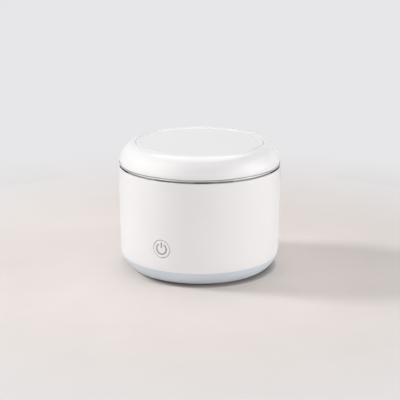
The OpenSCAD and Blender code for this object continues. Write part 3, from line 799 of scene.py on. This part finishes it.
# Base screws: a pan head with a cross recess, and a threaded shank
SCREW_STEPS = 72
HEAD_EDGE = 0.5
HEAD_CROWN = 0.25
HEAD_SHOULDER = 0.6
CROSS_HALF = 0.36
CROSS_REACH = 1.55
CROSS_DEPTH = 1.1
CROSS_SLOPE = 0.24
THREAD_PITCH = 1.1
THREAD_DEPTH = 0.28
TIP_LEN = 1.0
TIP_R = 0.5
crown_r = HEAD_R - HEAD_EDGE
turn = np.linspace(0, 2 * math.pi, SCREW_STEPS + 1)
face_r = np.linspace(0, crown_r, 20)[:, None]
face_x = face_r * np.cos(turn)
face_y = face_r * np.sin(turn)
slots = [np.maximum(abs(across) - CROSS_HALF, abs(along) - CROSS_REACH)
         for across, along in ((face_x, face_y), (face_y, face_x))]
cross = CROSS_DEPTH * np.clip(0.5 - np.minimum(*slots) / CROSS_SLOPE, 0, 1)
crown = HEAD_CROWN * (face_r / crown_r) ** 2
face = np.stack([face_x, face_y, Z_HEAD + crown + cross], -1)
head = outline((crown_r, Z_HEAD + HEAD_CROWN), (HEAD_R, Z_HEAD + HEAD_SHOULDER, FULL),
               (HEAD_R, Z_HEAD_SEAT, CRISP), (SHANK_R, Z_HEAD_SEAT))
shank_z = np.arange(Z_HEAD_SEAT, Z_TIP - TIP_LEN, THREAD_PITCH / 4)
wave = abs((shank_z - Z_HEAD_SEAT) / THREAD_PITCH % 1 - 0.5) * 2
thread = np.column_stack([SHANK_R - THREAD_DEPTH * wave, shank_z])
screw_side = np.concatenate([head, thread, [[TIP_R, Z_TIP], [0, Z_TIP]]])
grids = []
for quarter in QUARTERS:
    centre = SCREW_CIRCLE * np.array([math.cos(quarter), math.sin(quarter)])
    grids += [face + [*centre, 0], lathe(screw_side, centre, SCREW_STEPS)]
piece("base_screw_set", grids, "base", screw_steel, ["base_screws"])

# Tank: floor, corner, side, flange and turned-down band in one sheet
floor_c = (TANK_R - TANK_CORNER, Z_UNDER_TANK + SHEET + TANK_CORNER)
mouth_c = (TANK_R + TANK_BEND, Z_FLANGE - TANK_BEND)
band_c = (BAND_R - BAND_BEND, Z_FLANGE - BAND_BEND)
z_skirt = Z_RIM + BAND_GAP
sheet_outline = outline(
    (0, Z_UNDER_TANK + SHEET), arc(floor_c, TANK_CORNER, -90, 0, 32), arc(mouth_c, TANK_BEND, 180, 90, 14),
    arc(band_c, BAND_BEND, 90, 0, 10), (BAND_R, z_skirt, BAND_SOFT), (BAND_R - SHEET, z_skirt, BAND_SOFT),
    arc(band_c, BAND_BEND - SHEET, 0, 90, 4), arc(mouth_c, TANK_BEND - SHEET, 90, 180, 8),
    arc(floor_c, TANK_CORNER + SHEET, 0, -90, 24), (0, Z_UNDER_TANK))
piece("tank_sheet", [lathe(sheet_outline)], "base", tank_steel, ["tank"])

# Lid shell: arcs that meet in one tangent, a seat for the disc behind a rounded edge, a step for the liner
z_wide = Z_LID - WIDEST_DROP
z_shoulder = Z_TOP - SHOULDER_ARC
rise = z_shoulder - z_wide
side_arc = (rise**2 + SHOULDER_W**2 - SHOULDER_ARC**2) / (2 * (SHOULDER_W - SHOULDER_ARC))
join = math.degrees(math.atan2(rise, side_arc - SHOULDER_W))
side_c = (LID_R - side_arc, z_wide)
top_c = (DISC_R, z_shoulder)
inner = SHOULDER_ARC - LID_WALL
edge_start = math.degrees(math.asin((WIDEST_DROP + LID_EDGE) / side_arc))
edge_r = side_c[0] + side_arc * math.cos(math.radians(edge_start))
z_disc = Z_TOP - DISC_T
z_under = z_disc - TOP_T
inner_start = math.degrees(math.asin((z_under - z_shoulder) / inner))
z_seam = z_shoulder + math.sqrt((SHOULDER_ARC - SEAM_ROUND) ** 2 - SEAM_ROUND**2)
seam_c = (DISC_R + SEAM_ROUND, z_seam)
seam_join = math.degrees(math.atan2(z_seam - z_shoulder, SEAM_ROUND))
lid_outline = outline(
    (edge_r, Z_LID, LID_EDGE_SOFT), arc(side_c, side_arc, edge_start, join, 40),
    arc(top_c, SHOULDER_ARC, join, seam_join, 30), arc(seam_c, SEAM_ROUND, seam_join, 180, 12),
    (DISC_R, z_disc, CRISP), (0, z_disc), (0, z_under),
    arc(top_c, inner, inner_start, 0, 16), (DISC_R + inner, Z_LINER_TOP, SOFT),
    (LINER_R + LINER_GAP, Z_LINER_TOP, SOFT), (LINER_R + LINER_GAP, Z_LID, EASED), closed=True)
piece("lid_cover", [lathe(lid_outline)], "lid", lid_gloss, ["lid_shell"])

# Disc let into the lid, with a shallow dish inside its rim
dish_r = DISC_R - DISC_RIM
rim_c = (DISC_R - SEAM - SEAM_ROUND, Z_TOP - SEAM_ROUND)
disc_outline = outline(
    (0, z_disc), (DISC_R - SEAM, z_disc, CRISP), arc(rim_c, SEAM_ROUND, 0, 90, 12),
    (dish_r + DISH, Z_TOP, EASED), (dish_r - DISH, Z_TOP - DISH, DISH_ROUND), (0, Z_TOP - DISH))
piece("lid_disc", [lathe(disc_outline)], "lid", lid_gloss, ["lid_top_disc"])

# Liner that closes the lid: a plug for the tank's mouth and a groove for the gasket
pan_r = PLUG_R - LID_WALL
z_pan = Z_PLUG + LID_WALL
z_liner = Z_LINER_TOP - LID_WALL
z_groove = z_liner + GASKET_GROOVE
groove_in = GASKET_R - GASKET_W
liner_outline = outline(
    (0, Z_PLUG), (PLUG_R, Z_PLUG, PLUG_ROUND), (PLUG_R, z_liner, PLUG_ROOT),
    (groove_in, z_liner, FINE), (groove_in, z_groove, CRISP), (GASKET_R, z_groove, CRISP),
    (GASKET_R, z_liner, FINE), (LINER_R, z_liner, ROUND), (LINER_R, Z_LINER_TOP, SOFT),
    (pan_r, Z_LINER_TOP, FULL), (pan_r, z_pan, PAN_ROUND), (0, z_pan))
piece("lid_pan", [lathe(liner_outline)], "lid", body_satin, ["lid_liner"])

# Gasket: a soft ring in the liner's groove
gasket_outline = tube(groove_in + GASKET_GAP, GASKET_R - GASKET_GAP, Z_GASKET, z_groove, FULL)
piece("lid_seal", [lathe(gasket_outline)], "lid", soft_silicone, ["lid_gasket"])

# Finishes of the parts inside, which keep their own shapes
INSIDE = [
    (soft_silicone, ["tank_gasket"]),
    (screw_steel, ["board_screws", "button_board_screws", "jack_pin"]),
    (piezo_ceramic, ["piezo_disc"]),
    (lead_red, ["piezo_lead_live"]),
    (lead_black, ["piezo_lead_return"]),
    (board_mask, ["driver_board", "button_board"]),
    (ferrite_grey, ["transformer_core", "choke"]),
    (tape_yellow, ["transformer_coil"]),
    (can_sleeve, ["input_capacitor"]),
    (box_red, ["film_capacitor"]),
    (moulded_black, ["power_transistor", "control_chip", "dc_jack", "switch_body", "switch_plunger"]),
    (nylon_white, ["piezo_connector", "button_connector"]),
    (ribbon_grey, ["button_cable"]),
]
for finish, names in INSIDE:
    for name in names:
        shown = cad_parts[name]
        shown.data.materials.clear()
        shown.data.materials.append(finish)

# The photograph's view, in degrees: the floor's painted shade, cards, lamps and patches are turned from it
VIEW_AZIMUTH = 27.4
VIEW_ELEVATION = 15.7


def towards(azimuth, elevation):
    """A unit arrow from the object: at azimuth 0 it points along -Y, and the elevation lifts it."""
    a, e = math.radians(azimuth), math.radians(elevation)
    return Vector((math.sin(a) * math.cos(e), -math.cos(a) * math.cos(e), math.sin(e)))


# Floor: its paint fades to the pale tone between two distances in metres, and a painted shade lies at the
# base
PALE = linear(231, 230, 232)
FADE = (0.11, 0.36)
# Painted shade at the base: its reach in metres, the turn and lift of its leaning normal in degrees, and
# where it fades
PAINTED_SHADE_REACH = 0.005
PAINTED_SHADE_TURN = -155
PAINTED_SHADE_LIFT = 35
PAINTED_SHADE_SIDE = (-0.044, -0.027)
FLOOR_ROWS = np.array([0.0, 150.0, 400.0, 1000.0, 4000.0])
TO_RIGHT = towards(VIEW_AZIMUTH + 90, 0)


def floor_paint():
    """Matt paint near the object, and farther out an even pale tone for the eye, for gloss and for glass.

    For the eye, ambient occlusion about a leaning normal darkens the paint near the base: a painted shade
    that the lamps don't cast. The shade fades out on the side of the key lamp, by the place's dot product
    with an arrow to the right.
    """
    made = Finish("floor_paint")
    paint = made.colour(made.noise(CLOUDS), (230, 222, 217), (233, 225, 220))
    made.roughness(made.noise(GLOSS_CLOUDS, GLOSS_DETAIL), 0.6, 0.75)
    made.grain(made.noise(700.0), 1e-5, GRAIN_STRENGTH)
    # Painted shade: ambient occlusion darkens the floor's colour near the base, for camera rays only
    painted_shade = made.nodes.new("ShaderNodeAmbientOcclusion")
    painted_shade.inputs["Distance"].default_value = PAINTED_SHADE_REACH
    lean = made.nodes.new("ShaderNodeNormal").outputs["Normal"]
    lean.default_value = towards(VIEW_AZIMUTH + PAINTED_SHADE_TURN, PAINTED_SHADE_LIFT)
    made.links.new(lean, painted_shade.inputs["Normal"])
    made.links.new(paint, painted_shade.inputs["Color"])
    for_eye = made.nodes.new("ShaderNodeLightPath").outputs["Is Camera Ray"]
    painted_shade_side = smooth_step(made.tree, measured(made.tree, "DOT_PRODUCT", made.place, TO_RIGHT), *PAINTED_SHADE_SIDE)
    painted_shade_mix = made.nodes.new("ShaderNodeMix")
    painted_shade_mix.data_type = "RGBA"
    made.links.new(combined(made.tree, "MULTIPLY", for_eye, painted_shade_side), painted_shade_mix.inputs["Factor"])
    made.links.new(paint, painted_shade_mix.inputs["A"])
    made.links.new(painted_shade.outputs["Color"], painted_shade_mix.inputs["B"])
    made.links.new(painted_shade_mix.outputs["Result"], made.shader.inputs["Base Color"])
    far = smooth_step(made.tree, measured(made.tree, "LENGTH", made.place), *FADE)
    glow = made.nodes.new("ShaderNodeEmission")
    glow.inputs["Color"].default_value = PALE
    share = combined(made.tree, "MULTIPLY", far, seen_rays(made.tree))
    surface = mixed(made.tree, share, made.shader.outputs[0], glow.outputs[0])
    made.links.new(surface, made.nodes["Material Output"].inputs["Surface"])
    return made.material


floor_grid = lathe(np.column_stack([FLOOR_ROWS, 0 * FLOOR_ROWS]), steps=96)
floor = new_object("floor", floor_grid.reshape(-1, 3), cells(floor_grid), floor_paint())

# Cards on the floor that only reflections show: ring sectors from turn to turn from the view, and a grey
CARD_IN = 265.0
CARD_OUT = 400.0
CARD_LIFT = 0.5
CARD_STEPS = 48
CARDS = {
    "left_end_card": (-154, -112, 8),
    "left_card": (-112, -60, 165),
    "near_left_card": (-60, -7, 100),
    "front_card": (-7, 15, 4),
    "near_right_card": (15, 44, 115),
    "right_card": (44, 112, 175),
    "right_end_card": (112, 154, 8),
}
for name, (first, last, grey) in CARDS.items():
    tint = (grey, grey, grey)
    finish = moulded(name, tint, tint, (0.7, 0.8), 900.0, 1e-5, Specular_IOR_Level=0.0)
    turn = np.radians(np.linspace(first, last, CARD_STEPS + 1) + VIEW_AZIMUTH)
    reach = np.array([[CARD_IN], [CARD_OUT]])
    grid = np.stack([reach * np.sin(turn), -reach * np.cos(turn), CARD_LIFT + 0 * reach * turn], -1)
    card = new_object(name, grid.reshape(-1, 3), cells(grid), finish)
    card.visible_camera = False
    card.visible_diffuse = False
    card.visible_transmission = False
    card.visible_shadow = False

# Lamps: turn from the view and elevation in degrees, width and height in metres, power in watts
LAMP_FAR = 1.2
LAMP_AIM = Vector((0, 0, 0.045))
LAMPS = {
    "key_lamp": (-100, 35, 0.28, 0.28, 7.7),
    "left_lamp": (-60, 18, 0.7, 0.7, 2.3),
    "right_lamp": (85, 9, 0.8, 0.3, 7.4),
    "top_lamp": (180, 75, 0.9, 0.9, 3.85),
    "front_lamp": (0, 16, 0.5, 0.3, 3.6),
    "lid_lamp": (45, 60, 0.5, 0.5, 1.1),
}


def soft_lamp(name, turn_from_view, elevation, width, height, power):
    """A soft lamp that looks at the body's middle and that reflections don't show."""
    data = bpy.data.lights.new(name, "AREA")
    data.shape = "ELLIPSE"
    data.size = width
    data.size_y = height
    data.energy = power
    lamp = bpy.data.objects.new(name, data)
    back = towards(VIEW_AZIMUTH + turn_from_view, elevation)
    lamp.location = LAMP_AIM + back * LAMP_FAR
    lamp.rotation_mode = "QUATERNION"
    lamp.rotation_quaternion = back.to_track_quat("Z", "Y")
    lamp.visible_glossy = False
    bpy.context.scene.collection.objects.link(lamp)


for name, lamp in LAMPS.items():
    soft_lamp(name, *lamp)

# World: a low fill for the surfaces, and a pale background for the eye and for reflections
FILL_TINT = (0.97, 0.98, 1.0, 1)
FILL_STRENGTH = 0.14
scene = bpy.context.scene
world = bpy.data.worlds.new("studio")
scene.world = world
world.use_nodes = True
sky = world.node_tree
fill = sky.nodes["Background"]
fill.inputs["Color"].default_value = FILL_TINT
fill.inputs["Strength"].default_value = FILL_STRENGTH
pale = sky.nodes.new("ShaderNodeBackground")
pale.inputs["Color"].default_value = PALE

# Soft patches of the world that reflections show: turn from the view, elevation, core, edge and gain
PATCHES = {
    "over": (180, 67, 23, 30, 1.45),
    "left": (-67, 55, 2, 26, 0.2),
    "right": (80, 26, 2, 16, 0.9),
    "low_left": (-70, 20, 18, 48, 0.7),
    "low_right": (75, 16, 14, 42, 0.9),
    "front": (3, -4, 8, 13, -0.98),
    "behind": (180, 16, 12, 40, 0.07),
}
in_gloss = sky.nodes.new("ShaderNodeLightPath").outputs["Is Glossy Ray"]
way_out = sky.nodes.new("ShaderNodeTexCoord").outputs["Generated"]
glow = sky.nodes.new("ShaderNodeValue").outputs[0]
glow.default_value = 1.0
for turn_from_view, lift, core, edge, gain in PATCHES.values():
    nearness = measured(sky, "DOT_PRODUCT", way_out, towards(VIEW_AZIMUTH + turn_from_view, lift))
    start, end = math.cos(math.radians(edge)), math.cos(math.radians(core))
    glow = combined(sky, "MULTIPLY_ADD", smooth_step(sky, nearness, start, end, gain), in_gloss, glow)
sky.links.new(glow, pale.inputs["Strength"])
backdrop = mixed(sky, seen_rays(sky), fill.outputs[0], pale.outputs[0])
sky.links.new(backdrop, sky.nodes["World Output"].inputs["Surface"])

# Camera at the photograph's angle, fitted on the lid, the band and the base
FOCAL_PIXELS = 1289.5
IMAGE_PIXELS = 400
SENSOR = 36.0
CAMERA_FAR = 0.9
AIM_RIGHT = 0.0002
AIM_UP = 0.0461
back = towards(VIEW_AZIMUTH, VIEW_ELEVATION)
aim = TO_RIGHT * AIM_RIGHT + Vector((0, 0, AIM_UP))
camera_data = bpy.data.cameras.new("camera")
camera_data.sensor_width = SENSOR
camera_data.lens = SENSOR * FOCAL_PIXELS / IMAGE_PIXELS
camera = bpy.data.objects.new("camera", camera_data)
camera.location = aim + back * CAMERA_FAR
camera.rotation_mode = "QUATERNION"
camera.rotation_quaternion = back.to_track_quat("Z", "Y")
scene.collection.objects.link(camera)
scene.camera = camera
scene.view_settings.view_transform = "Standard"
